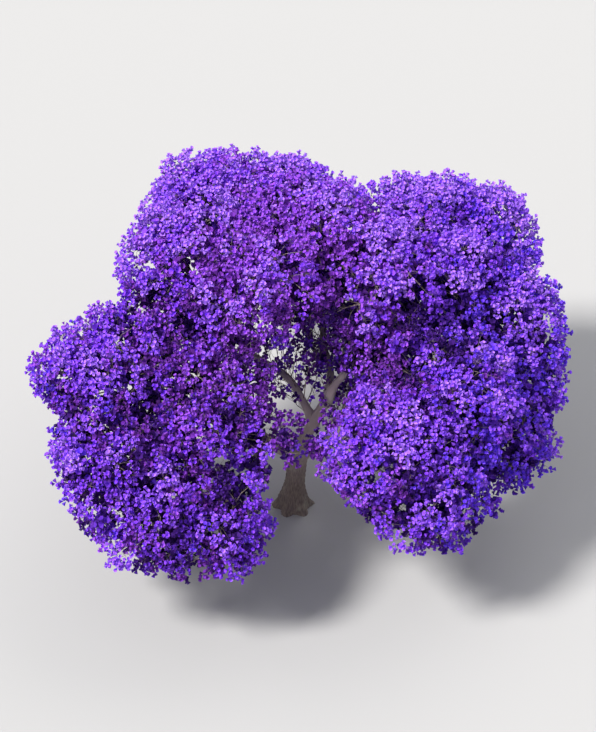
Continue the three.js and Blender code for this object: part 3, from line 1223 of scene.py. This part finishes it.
@dataclass
class BlossomRule:
    """The seeded rule by which each mass grows, first as the solids do and then on to finer twigs.

    The hollows are the places of the crown's small hollows, which are dented and painted dark with shade.
    They were measured where the photograph is darkest, with their depth guessed.
    """

    lowest: float = -0.55
    jitter: float = 0.3
    stem_rise: float = 0.1
    stem_radii: Point = (0.058, 0.046, 0.034)
    twig_count: int = 4
    twig_reach: float = 0.55
    twig_shares: Span = (0.35, 0.95)
    twig_follow: float = 0.5
    twig_radii: Span = (0.026, 0.016)
    spray_pitch: float = 0.216
    spray_reach: Span = (0.88, 0.99)
    spray_width: Span = (0.36, 0.46)
    spray_leaving: Span = (0.5, 0.97)
    spray_axis: float = 0.72
    spray_follow: float = 0.35
    spray_radii: Span = (0.015, 0.009)
    shoot_leaving: Span = (0.3, 0.98)
    shoot_radii: Span = (0.011, 0.006)
    lowest_puff: float = -0.8
    puff_stray: float = 0.16
    puff_rise: float = 0.2
    least_reach: float = 0.3
    skin_margin: float = 0.06
    wall_margin: float = 0.3
    thin_below: float = -0.3
    low_thinning: float = 0.5
    hidden: float = 0.72
    # Seams between masses are set back and painted in shade. Hollows are dented, thinned and painted in
    # shade.
    seam_depth: float = 0.6
    seam_width: float = 0.5
    seam_shade: float = 0.3
    hollow_width: float = 0.7
    hollow_shade: float = 0.95
    hollow_dent: float = 0.22
    hollows: tuple[Point, ...] = (
        *((4.9, -1.3, 10.2), (6.0, -2.1, 9.6), (7.1, -3.3, 9.7), (4.2, -3.4, 9.4), (1.4, -1.1, 9.8)),
        *((-1.4, -2.2, 8.9), (-4.4, -1.6, 9.6), (-3.2, -4.1, 8.9), (-2.3, -4.8, 8.5)),
        *((-5.8, -4.4, 8.1), (-2.4, -6.8, 6.5), (9.2, -4.3, 5.4), (6.9, -7.0, 4.9)),
    )
    head_length: Span = (0.22, 0.34)
    head_stray: float = 0.3
    head_rise: float = 0.25
    lowest_head: float = -0.3
    stalk_reach: Span = (0.85, 1.05)
    stalk_radii: Span = (0.006, 0.003)
    stalk_overlap: float = 0.15
    shading: Shading = Shading()
    outer: Layer = Layer(9.7, (0.93, 1.0), (0.42, 0.56), 8, 1.0, 0.59, 0.25, 0.55)
    # The inner layer is real flowers inside the crown, painted dark as shade.
    inner: Layer = Layer(4.6, (0.5, 0.82), (0.4, 0.54), 5, 1.62, 0.06, 1.0, 0.0)

    def stem(self, mass: Mass) -> Route:
        """The mass's stem, from the tip of its limb to a little above the middle of its space."""
        return Route(mass.entry, mass.heading, mass.centre + self.stem_rise * mass.radius * UP, UP)

    def source_twigs(self, mass: Mass, chance: SeededChance) -> tuple[Twigs, Array]:
        """The main twigs, as the solids have them.

        Args:
            mass: The mass.
            chance: Its seeded chance.

        Returns:
            The main twigs, and the direction of each from the mass's centre.
        """
        stem = self.stem(mass)
        plain = spiral(self.twig_count, self.lowest)
        turned = np.array([chance.jitter(direction, self.jitter) for direction in plain])
        low, high = self.twig_shares
        shares = low + (high - low) * (plain[:, 2] - self.lowest) / (1.0 - self.lowest)
        starts = stem.points(shares)
        ends = mass.centre + turned * (self.twig_reach * mass.reach(turned))[:, None]
        leaves = unit(unit(ends - starts) + self.twig_follow * stem.tangents(shares))
        return Twigs.alike(starts, leaves, ends, self.twig_radii), turned

    def source_sprays(
        self, mass: Mass, chance: SeededChance, twigs: Twigs, facing: Array
    ) -> tuple[Twigs, Array]:
        """The axes of the sprays, each from the main twig that faces it most, as the solids have them.

        Args:
            mass: The mass.
            chance: Its seeded chance, drawn from in the solids' order.
            twigs: The main twigs.
            facing: Their directions.

        Returns:
            The axes, and the direction of each from the mass's centre.
        """
        turned, leaving, reaches = [], [], []
        for direction in spiral(round(mass.radius / self.spray_pitch), self.lowest):
            turned.append(chance.jitter(direction, self.jitter))
            leaving.append(chance.between(*self.spray_leaving))
            reaches.append(chance.between(*self.spray_reach))
            chance.between(*self.spray_width)
        turned = np.array(turned)
        on = twigs.some(np.argmax(turned @ facing.T, axis=1))
        starts = on.points(np.array(leaving)[:, None])[:, 0]
        ends = mass.centre + turned * (self.spray_axis * np.array(reaches) * mass.reach(turned))[:, None]
        leaves = unit(unit(ends - starts) + self.spray_follow * unit(on.ends - on.starts))
        return Twigs.alike(starts, leaves, ends, self.spray_radii), turned

    def in_hollow(self, points: Array) -> Array:
        """How deep points lie in the crown's small hollows, which are dented and painted dark with shade.

        The exponent of minus the square of the distance to the nearest hollow, over the hollows' width.

        Args:
            points: The points.

        Returns:
            One in the middle of a hollow, falling off to nothing.
        """
        apart = np.linalg.norm(points[:, None] - np.array(self.hollows), axis=2).min(axis=1)
        return np.exp(-((apart / self.hollow_width) ** 2))

    def puffs(self, mass: Mass, layer: Layer, billows: Billows, dice: np.random.Generator) -> Puffs:
        """Where one layer's puffs of flower heads sit.

        Directions by the even spiral, turned by chance, each reaching the billowed edge less the puff's own
        radius, or close to a plane where one lies nearer, and pulled in at the hollows. Puffs thin out
        below and between masses. Each puff is painted darker, as shade, near a plane between masses and in
        a hollow.

        Args:
            mass: The mass.
            layer: The layer.
            billows: The mass's lobes.
            dice: Its random numbers.

        Returns:
            The puffs.
        """
        count = round(layer.density * mass.radius**2)
        shift = self.puff_stray * (dice.random((count, 3)) - 0.5)
        turned = unit(spiral(count, self.lowest_puff) + shift)
        flat = np.array([1.0, 1.0, Mass.FLATTENING])
        swell, lobe = billows.swell(unit(turned / flat))
        free, walls = mass.skin(turned) * swell, mass.walls(turned)
        size = dice.uniform(*layer.size, count)
        depth = dice.uniform(*layer.depth, count)
        depth = np.where(walls < free, 1.0 - self.seam_depth * (1.0 - depth), depth)
        reach = np.minimum(free - size - self.skin_margin, walls - self.wall_margin * size) * depth
        centres = mass.centre + turned * reach[:, None]
        from_lobe = unit(centres - mass.centre - billows.centres[lobe] * flat * mass.radius)
        facing = blend(from_lobe, UP, self.puff_rise)
        open_sky = (walls > self.hidden * free) | (dice.random(count) < layer.between)
        hollow = self.in_hollow(centres)
        fate = dice.random(count)
        not_low = fate < 1.0 + self.low_thinning * np.minimum(turned[:, 2] - self.thin_below, 0.0)
        keep = open_sky & not_low & (fate > layer.thinning * hollow) & (reach > self.least_reach)
        # Painted shade in the seams between masses and in the hollows.
        seams = np.exp(-((mass.gap(centres) / self.seam_width) ** 2))
        shade = self.seam_shade * seams + self.hollow_shade * hollow
        centres -= turned * (self.hollow_dent * hollow * reach)[:, None]
        return Puffs(centres, facing, size, swell, shade).some(keep)

    def heads(self, puffs: Puffs, layer: Layer, dice: np.random.Generator) -> tuple[Twigs, Panicles]:
        """The flower heads of every puff, on stalks that fan out from its middle.

        Directions by the even spiral about the way that the puff faces.

        Args:
            puffs: The puffs.
            layer: Their layer.
            dice: The mass's random numbers.

        Returns:
            The stalks and the heads.
        """
        count, heads = len(puffs.centres), layer.heads
        first, second = basis(puffs.facing)
        local = spiral(heads, self.lowest_head)
        spin = dice.uniform(0.0, 2.0 * math.pi, (count, 1))
        x = local[:, 0] * np.cos(spin) - local[:, 1] * np.sin(spin)
        y = local[:, 0] * np.sin(spin) + local[:, 1] * np.cos(spin)
        level = x[..., None] * first[:, None] + y[..., None] * second[:, None]
        ahead = local[:, 2][None, :, None] * puffs.facing[:, None]
        fan = unit(level + ahead + self.head_stray * (dice.random((count, heads, 3)) - 0.5))
        lengths = layer.scale * dice.uniform(*self.head_length, (count, heads))
        reach = puffs.sizes[:, None] * dice.uniform(*self.stalk_reach, (count, heads))
        tips = puffs.centres[:, None] + fan * reach[..., None]
        axes = blend(fan, UP, self.head_rise)
        starts = tips - axes * lengths[..., None]
        middles = np.repeat(puffs.centres[:, None], heads, 1)
        ends = tips - self.stalk_overlap * axes * lengths[..., None]
        rows = [each.reshape(-1, 3) for each in (middles, fan, ends, starts, axes)]
        stalks = Twigs.alike(*rows[:3], self.stalk_radii)
        tints = self.shading.tints(puffs, layer, dice)
        scales = np.full(count * heads, layer.scale)
        return stalks, Panicles(*rows[3:], lengths.ravel(), scales, tints.ravel())

    def shoots(
        self, puffs: Puffs, mass: Mass, sprays: Twigs, facing: Array, dice: np.random.Generator
    ) -> Twigs:
        """The shoots that carry the puffs, each from the spray axis that faces it most.

        Args:
            puffs: The puffs.
            mass: Their mass.
            sprays: The spray axes.
            facing: The directions of the spray axes.
            dice: The mass's random numbers.

        Returns:
            The shoots.
        """
        on = sprays.some(np.argmax(unit(puffs.centres - mass.centre) @ facing.T, axis=1))
        starts = on.points(dice.uniform(*self.shoot_leaving, (len(puffs.centres), 1)))[:, 0]
        leaves = unit(unit(on.ends - on.starts) + unit(puffs.centres - starts))
        return Twigs.alike(starts, leaves, puffs.centres, self.shoot_radii)

    def grow(self, mass: Mass, seed: int) -> Growth:
        """Everything that grows in one mass.

        Args:
            mass: The mass.
            seed: The seed that its solid has.

        Returns:
            Its twigs and flower heads.
        """
        chance = SeededChance(seed)
        dice = np.random.default_rng(seed)
        stem = self.stem(mass)
        radii = np.array(self.stem_radii)
        shares = np.linspace(0.0, 1.0, len(radii))
        knots = stem.points(shares)
        trunklet = Twigs(knots[:-1], stem.tangents(shares[:-1]), knots[1:], radii[:-1], radii[1:])
        twigs, facing = self.source_twigs(mass, chance)
        sprays, spray_facing = self.source_sprays(mass, chance, twigs, facing)
        billows = Billows.scattered(dice)
        shoots, stalks, panicles = [], [], []
        for layer in (self.outer, self.inner):
            puffs = self.puffs(mass, layer, billows, dice)
            shoots.append(self.shoots(puffs, mass, sprays, spray_facing, dice))
            layer_stalks, layer_heads = self.heads(puffs, layer, dice)
            stalks.append(layer_stalks)
            panicles.append(layer_heads)
        thick = Twigs.joined([trunklet, twigs, sprays])
        return Growth(thick, Twigs.joined(shoots), Twigs.joined(stalks), Panicles.joined(panicles))


@dataclass
class SideShoots:
    """Thin shoots with a few flower heads, along the boughs and limbs in the open middle of the crown."""

    per_metre: float = 13.0
    shares: Span = (0.08, 0.95)
    length: Span = (0.6, 1.9)
    follow: float = 0.7
    rise: float = 0.55
    stray: float = 0.3
    thinnest: float = 0.012
    thickening: float = 0.007
    tip: float = 0.4
    fork_count: int = 5
    fork_shares: Span = (0.4, 1.0)
    fork_length: Span = (0.3, 0.6)
    fork_spread: float = 0.9
    fork_rise: float = 0.3
    fork_radii: Span = (0.6, 0.25)
    bearing: float = 0.85
    head_rise: float = 0.2
    head_start: float = 0.1
    head_length: Span = (0.2, 0.32)
    head_scale: float = 0.95
    # The heads' lightness is painted shade, for the open middle of the crown.
    light: Span = (0.32, 0.18)
    pink: Span = (0.5, 0.2)
    seed: int = 11

    def shoots(self, limb: Limb, dice: np.random.Generator) -> Twigs:
        """The side shoots of one limb.

        They stand in even steps with a shift by chance, turned round the limb by the golden angle, and
        lean outwards, forwards and up.

        Args:
            limb: The limb.
            dice: The shoots' random numbers.

        Returns:
            The shoots.
        """
        low, high = self.shares
        count = max(round(self.per_metre * limb.route.length * (high - low)), 1)
        shares = low + (high - low) * (np.arange(count) + dice.random(count)) / count
        along = limb.route.tangents(shares)
        first, second = basis(along)
        outward = around(np.arange(count) * GOLDEN_ANGLE + dice.uniform(0.0, 2.0 * math.pi), first, second)
        leaves = unit(outward + self.follow * along)
        reach = dice.uniform(*self.length, (count, 1))
        starts = limb.route.points(shares)
        shift = self.stray * (dice.random((count, 3)) - 0.5)
        ends = starts + unit(leaves + self.rise * UP + shift) * reach
        bases = self.thinnest + self.thickening * reach[:, 0]
        return Twigs(starts, leaves, ends, bases, self.tip * bases)

    def forks(self, shoots: Twigs, dice: np.random.Generator) -> Twigs:
        """The twiglets that fork off every shoot, to all sides of it.

        Args:
            shoots: The shoots.
            dice: The shoots' random numbers.

        Returns:
            The twiglets.
        """
        every = np.arange(len(shoots.starts))
        on = shoots.some(np.repeat(every, self.fork_count))
        shares = np.tile(np.linspace(*self.fork_shares, self.fork_count), len(every))[:, None]
        starts = on.points(shares)[:, 0]
        ahead = unit(on.ends - on.starts)
        first, second = basis(ahead)
        outward = around(dice.uniform(0.0, 2.0 * math.pi, len(starts)), first, second)
        leaves = unit(ahead + self.fork_spread * outward)
        lengths = dice.uniform(*self.fork_length, (len(starts), 1))
        ends = starts + unit(leaves + self.fork_rise * UP) * lengths
        return Twigs(starts, leaves, ends, *[share * on.bases for share in self.fork_radii])

    def heads(self, forks: Twigs, dice: np.random.Generator) -> Panicles:
        """Flower heads at the tips of some of the twiglets, painted dark as shade in the open middle of the
        crown.

        Args:
            forks: The twiglets.
            dice: The shoots' random numbers.

        Returns:
            The flower heads.
        """
        on = forks.some(dice.random(len(forks.starts)) < self.bearing)
        count = len(on.starts)
        axes = blend(unit(on.ends - on.starts), UP, self.head_rise)
        tints = Tint.nearest(dice.normal(*self.light, count), dice.normal(*self.pink, count))
        lengths = dice.uniform(*self.head_length, count)
        starts = on.ends - self.head_start * axes
        return Panicles(starts, axes, lengths, np.full(count, self.head_scale), tints)

    def grow(self, limbs: list[Limb], crown: Mass) -> Growth:
        """The shoots, twiglets and heads on the backs of the limbs, kept where no mass fills the space.

        Args:
            limbs: The limbs.
            crown: Any mass, to tell which shoots end inside the skin of the crown.

        Returns:
            The growth, whose stalks are the twiglets.
        """
        dice = np.random.default_rng(self.seed)
        shoots = Twigs.joined([self.shoots(limb, dice) for limb in limbs])
        backwards = shoots.ends[:, 1] > shoots.starts[:, 1]
        shoots = shoots.some(backwards & ~crown.in_crown(shoots.ends))
        forks = self.forks(shoots, dice)
        return Growth(shoots, forks, forks.some(slice(0, 0)), self.heads(forks, dice))


@dataclass
class FlowerMesh:
    """The flowers of every head: closed five-sided trumpets that spiral up its axis.

    They are several times as large as real ones, so that few of them fill the crown.
    """

    per_head: int = 5
    sides: int = 5
    length: float = 0.156
    mouth: float = 0.076
    throat: float = 0.4
    lean: Span = (78.0, 23.0)
    lean_stray: float = 0.16
    lowest: float = 0.12
    spread: float = 0.85
    sizes: Span = (0.82, 1.15)
    seed: int = 7

    @property
    def triangles(self) -> int:
        """How many triangles the flowers of one head have."""
        return 2 * self.sides * self.per_head

    def trumpet(self) -> tuple[Array, Array]:
        """One trumpet, with its root at the origin and its mouth a unit up.

        A root, a ring of five points at the mouth and a throat below its middle; five faces run up
        outside to the ring, and five down inside to the throat.

        Returns:
            Its seven vertices and ten triangles.
        """
        sides = self.sides
        turn = 2.0 * math.pi * np.arange(sides) / sides
        rim = np.stack([np.cos(turn), np.sin(turn), np.ones(sides)], axis=1)
        verts = np.concatenate([[[0.0, 0.0, 0.0]], rim, [[0.0, 0.0, self.throat]]])
        first = np.arange(1, sides + 1)
        after = np.roll(first, -1)
        outside = np.stack([np.zeros(sides, int), after, first], axis=1)
        inside = np.stack([np.full(sides, sides + 1), first, after], axis=1)
        return verts, np.concatenate([outside, inside])

    def surface(self, heads: Panicles) -> Surface:
        """The trumpets of a batch of heads.

        Roots stand along each axis in equal steps, turned by the golden angle; each trumpet leans out
        nearly level at the foot of its head and almost straight ahead at the tip.

        Args:
            heads: The flower heads.

        Returns:
            The surface of all their flowers, with the insides of the mouths in a slot of their own.
        """
        dice = np.random.default_rng(self.seed)
        count, flowers = len(heads.starts), self.per_head
        share = np.linspace(self.lowest, 1.0, flowers)[None, :, None]
        first, second = basis(heads.axes)
        angle = (np.arange(flowers) * GOLDEN_ANGLE)[None, :] + dice.uniform(0.0, 2.0 * math.pi, (count, 1))
        radial = around(angle, first[:, None], second[:, None])
        foot, tip = np.radians(self.lean)
        lean = foot + (tip - foot) * share + dice.normal(0.0, self.lean_stray, (count, flowers, 1))
        facing = unit(np.cos(lean) * heads.axes[:, None] + np.sin(lean) * radial)
        along = heads.axes[:, None] * heads.lengths[:, None, None] * share * self.spread
        roots = heads.starts[:, None] + along
        across, other = basis(facing)
        scale = heads.scales[:, None, None, None] * dice.uniform(*self.sizes, (count, flowers, 1, 1))
        verts, faces = self.trumpet()
        placed = (
            roots[:, :, None]
            + scale * self.mouth * verts[:, 0, None] * across[:, :, None]
            + scale * self.mouth * verts[:, 1, None] * other[:, :, None]
            + scale * self.length * verts[:, 2, None] * facing[:, :, None]
        )
        total = count * flowers
        corners = faces[None] + (np.arange(total) * len(verts))[:, None, None]
        slots = np.tile(np.repeat([0, 1], self.sides), total)
        return Surface(placed.reshape(-1, 3), corners.ravel(), np.full(total * len(faces), 3), slots=slots)


@dataclass
class BlossomCrown:
    """All the twigs and flowers, joined by kind and tint into pieces that stand for the masses."""

    skeleton: Skeleton
    rule: BlossomRule
    side_shoots: SideShoots
    flowers: FlowerMesh
    twig_finish: TwigFinish
    petals: PetalFinish
    tubes: tuple[tuple[str, int, int], ...] = (("thick", 4, 5), ("shoots", 3, 3), ("stalks", 2, 3))
    first_seed: int = 100

    def dress(self, surface: Surface, name: str, materials: list[bpy.types.Material]) -> None:
        """Makes a piece of a surface, with its finishes and its ties to the solids.

        Args:
            surface: The surface.
            name: The piece's name.
            materials: Its materials.
        """
        made = surface.to_object(name, smooth=False)
        for material in materials:
            made.data.materials.append(material)
        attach(made, "root")
        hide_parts(*[mass.name for mass in self.skeleton.masses])
        LOG.info("%s: %d triangles", name, surface.triangles())

    def build(self) -> None:
        """Grows every mass and makes the twigs and the flowers of each tint."""
        limbs, masses = self.skeleton.limbs, self.skeleton.masses
        grown = [self.rule.grow(mass, self.first_seed + i) for i, mass in enumerate(masses)]
        bearing = [limb for name, limb in limbs.items() if name.startswith(("bough", "limb"))]
        grown.append(self.side_shoots.grow(bearing, masses[0]))
        tubes = [
            Twigs.joined([getattr(growth, order) for growth in grown]).surface(rings, sides)
            for order, rings, sides in self.tubes
        ]
        self.dress(Surface.joined(tubes), "twigs", [self.twig_finish.material()])
        heads = Panicles.joined([growth.panicles for growth in grown])
        LOG.info("%d flower heads", len(heads.starts))
        for i, tint in enumerate(Tint):
            self.dress_tint(tint, heads.some(heads.tints == i))

    def dress_tint(self, tint: Tint, heads: Panicles) -> None:
        """Makes the flowers of one tint, in as many pieces as their number asks for.

        Args:
            tint: The tint.
            heads: Its flower heads.
        """
        materials = self.petals.materials(tint)
        pieces = math.ceil(len(heads.starts) * self.flowers.triangles / PIECE_LIMIT)
        for part in range(pieces):
            flowers = self.flowers.surface(heads.some(slice(part, None, pieces)))
            self.dress(flowers, f"blossom_{tint.name.lower()}_{part + 1}", materials)


@dataclass(frozen=True)
class Lamp:
    """A far, broad lamp.

    Its spread is how wide it looks, in degrees, and its turn is about X and then about Y, in degrees,
    from shining straight down.
    """

    name: str
    strength: float
    spread: float
    turn: Span
    colour: Point = (1.0, 0.975, 0.94)

    def build(self) -> None:
        """Makes the lamp."""
        lamp = bpy.data.lights.new(self.name, "SUN")
        lamp.energy = self.strength
        lamp.angle = math.radians(self.spread)
        lamp.color = self.colour
        linked(self.name, lamp).rotation_euler = (*[math.radians(turn) for turn in self.turn], 0.0)


@dataclass
class Studio:
    """A plain pale floor, soft light and a camera that looks down at the tree as the photograph does."""

    elevation: float = 38.8
    distance: float = 107.0
    lens: float = 137.0
    furthest: float = 1000.0
    aim: Point = (0.2, 0.6, 6.55)
    floor_half: float = 400.0
    floor_colour: Colour = (0.46, 0.46, 0.46, 1.0)
    floor_roughness: float = 0.9
    sky_colour: Colour = (0.93, 0.95, 1.0, 1.0)
    sky_strength: float = 0.58
    main_lamp: Lamp = Lamp("main_lamp", 4.4, 14.0, (18.0, -34.0))
    fill_lamp: Lamp = Lamp("fill_lamp", 0.9, 60.0, (-37.0, 39.0))

    def floor(self) -> None:
        """A wide level floor in a pale grey."""
        h = self.floor_half
        mesh = bpy.data.meshes.new("floor")
        mesh.from_pydata([(-h, -h, 0.0), (h, -h, 0.0), (h, h, 0.0), (-h, h, 0.0)], [], [(0, 1, 2, 3)])
        made = linked("floor", mesh)
        recipe = Recipe("floor_paint", self.floor_roughness)
        recipe.fill(recipe.shader, {"Base Color": self.floor_colour})
        made.data.materials.append(recipe.material)

    def light(self) -> None:
        """A pale sky, a main lamp from the upper left and a weak one from behind on the right."""
        world = bpy.data.worlds.new("studio")
        world.use_nodes = True
        backdrop = world.node_tree.nodes["Background"]
        backdrop.inputs["Color"].default_value = self.sky_colour
        backdrop.inputs["Strength"].default_value = self.sky_strength
        bpy.context.scene.world = world
        self.main_lamp.build()
        self.fill_lamp.build()

    def camera(self) -> None:
        """The camera, at the photograph's slope and distance, through a longer lens."""
        lens = bpy.data.cameras.new("camera")
        lens.lens = self.lens
        lens.clip_end = self.furthest
        made = linked("camera", lens)
        slope = math.radians(self.elevation)
        back = self.distance * np.array([0.0, -math.cos(slope), math.sin(slope)])
        made.location = np.array(self.aim) + back
        made.rotation_euler = (math.radians(90.0) - slope, 0.0, 0.0)
        bpy.context.scene.camera = made
        bpy.context.scene.view_settings.view_transform = "Standard"

    def build(self) -> None:
        """Makes the floor, the light and the camera."""
        self.floor()
        self.light()
        self.camera()


def scaffold_plans() -> dict[str, tuple[float, Place]]:
    """How far up the trunk each scaffold leaves it, and where it ends."""
    return {
        "scaffold_left": (0.97, Place(205, 1.35, 4.0)),
        "scaffold_right": (0.97, Place(-12, 1.65, 3.9)),
        "scaffold_back": (0.98, Place(14, 1.4, 5.1)),
    }


def bough_plans() -> list[BoughPlan]:
    """Every bough, with each mass that it carries."""
    left, right, back = "scaffold_left", "scaffold_right", "scaffold_back"
    rows = (
        ("left", left, 0.98, (200, 4.6, 5.5)),
        ("front", left, 0.8, (243, 3.5, 4.5)),
        ("back_left", back, 0.6, (132, 4.3, 7.2)),
        ("back", back, 0.98, (86, 4.7, 7.5)),
        ("leader", back, 0.96, (20, 2.4, 7.7)),
        ("back_right", right, 0.75, (46, 5.8, 6.8)),
        ("right", right, 0.98, (8, 5.1, 5.9)),
        ("front_right", right, 0.9, (-42, 4.2, 4.8)),
    )
    masses = (
        ((190, 7.2, 7.5, 3.25), (213, 7.6, 5.7, 3.15), (230, 8, 4.7, 2.7)),
        ((229, 4.5, 7, 3.2), (247, 7.3, 4.8, 2.55)),
        ((147, 4.9, 10.1, 3), (116, 7.9, 9.85, 2.75), (155, 1.6, 10.3, 3), (172, 4.3, 7.9, 2.8)),
        ((96, 5.9, 10.5, 2.8), (105, 8.8, 7.6, 2.8)),
        ((72, 3.2, 11.2, 2.9), (22, 3.2, 10.2, 3), (17, 3.3, 7.2, 2.05)),
        ((51, 7.7, 9.4, 2.8), (41, 9.5, 8.7, 3), (42, 9.3, 6.3, 2.6)),
        ((24, 6.3, 9.4, 3), (14, 8.3, 7.9, 2.85), (1, 8.2, 6.1, 2.8), (-19, 8.2, 5.3, 2.6)),
        ((-53, 6.2, 7, 3.2), (-26, 6.7, 8, 3.05), (-50, 7.7, 5.2, 2.6)),
    )
    return [
        BoughPlan(name, parent, share, Place(*end), own)
        for (name, parent, share, end), own in zip(rows, masses)
    ]


def main() -> None:
    """Builds the tree and the studio."""
    logging.basicConfig(level=logging.INFO, format="%(message)s")
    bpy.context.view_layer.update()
    skeleton = Skeleton()
    skeleton.build(scaffold_plans(), bough_plans())
    BarkSkin(skeleton, BarkFinish()).build()
    finishes = (TwigFinish(), PetalFinish())
    BlossomCrown(skeleton, BlossomRule(), SideShoots(), FlowerMesh(), *finishes).build()
    Studio().build()


if __name__ == "__main__":
    main()
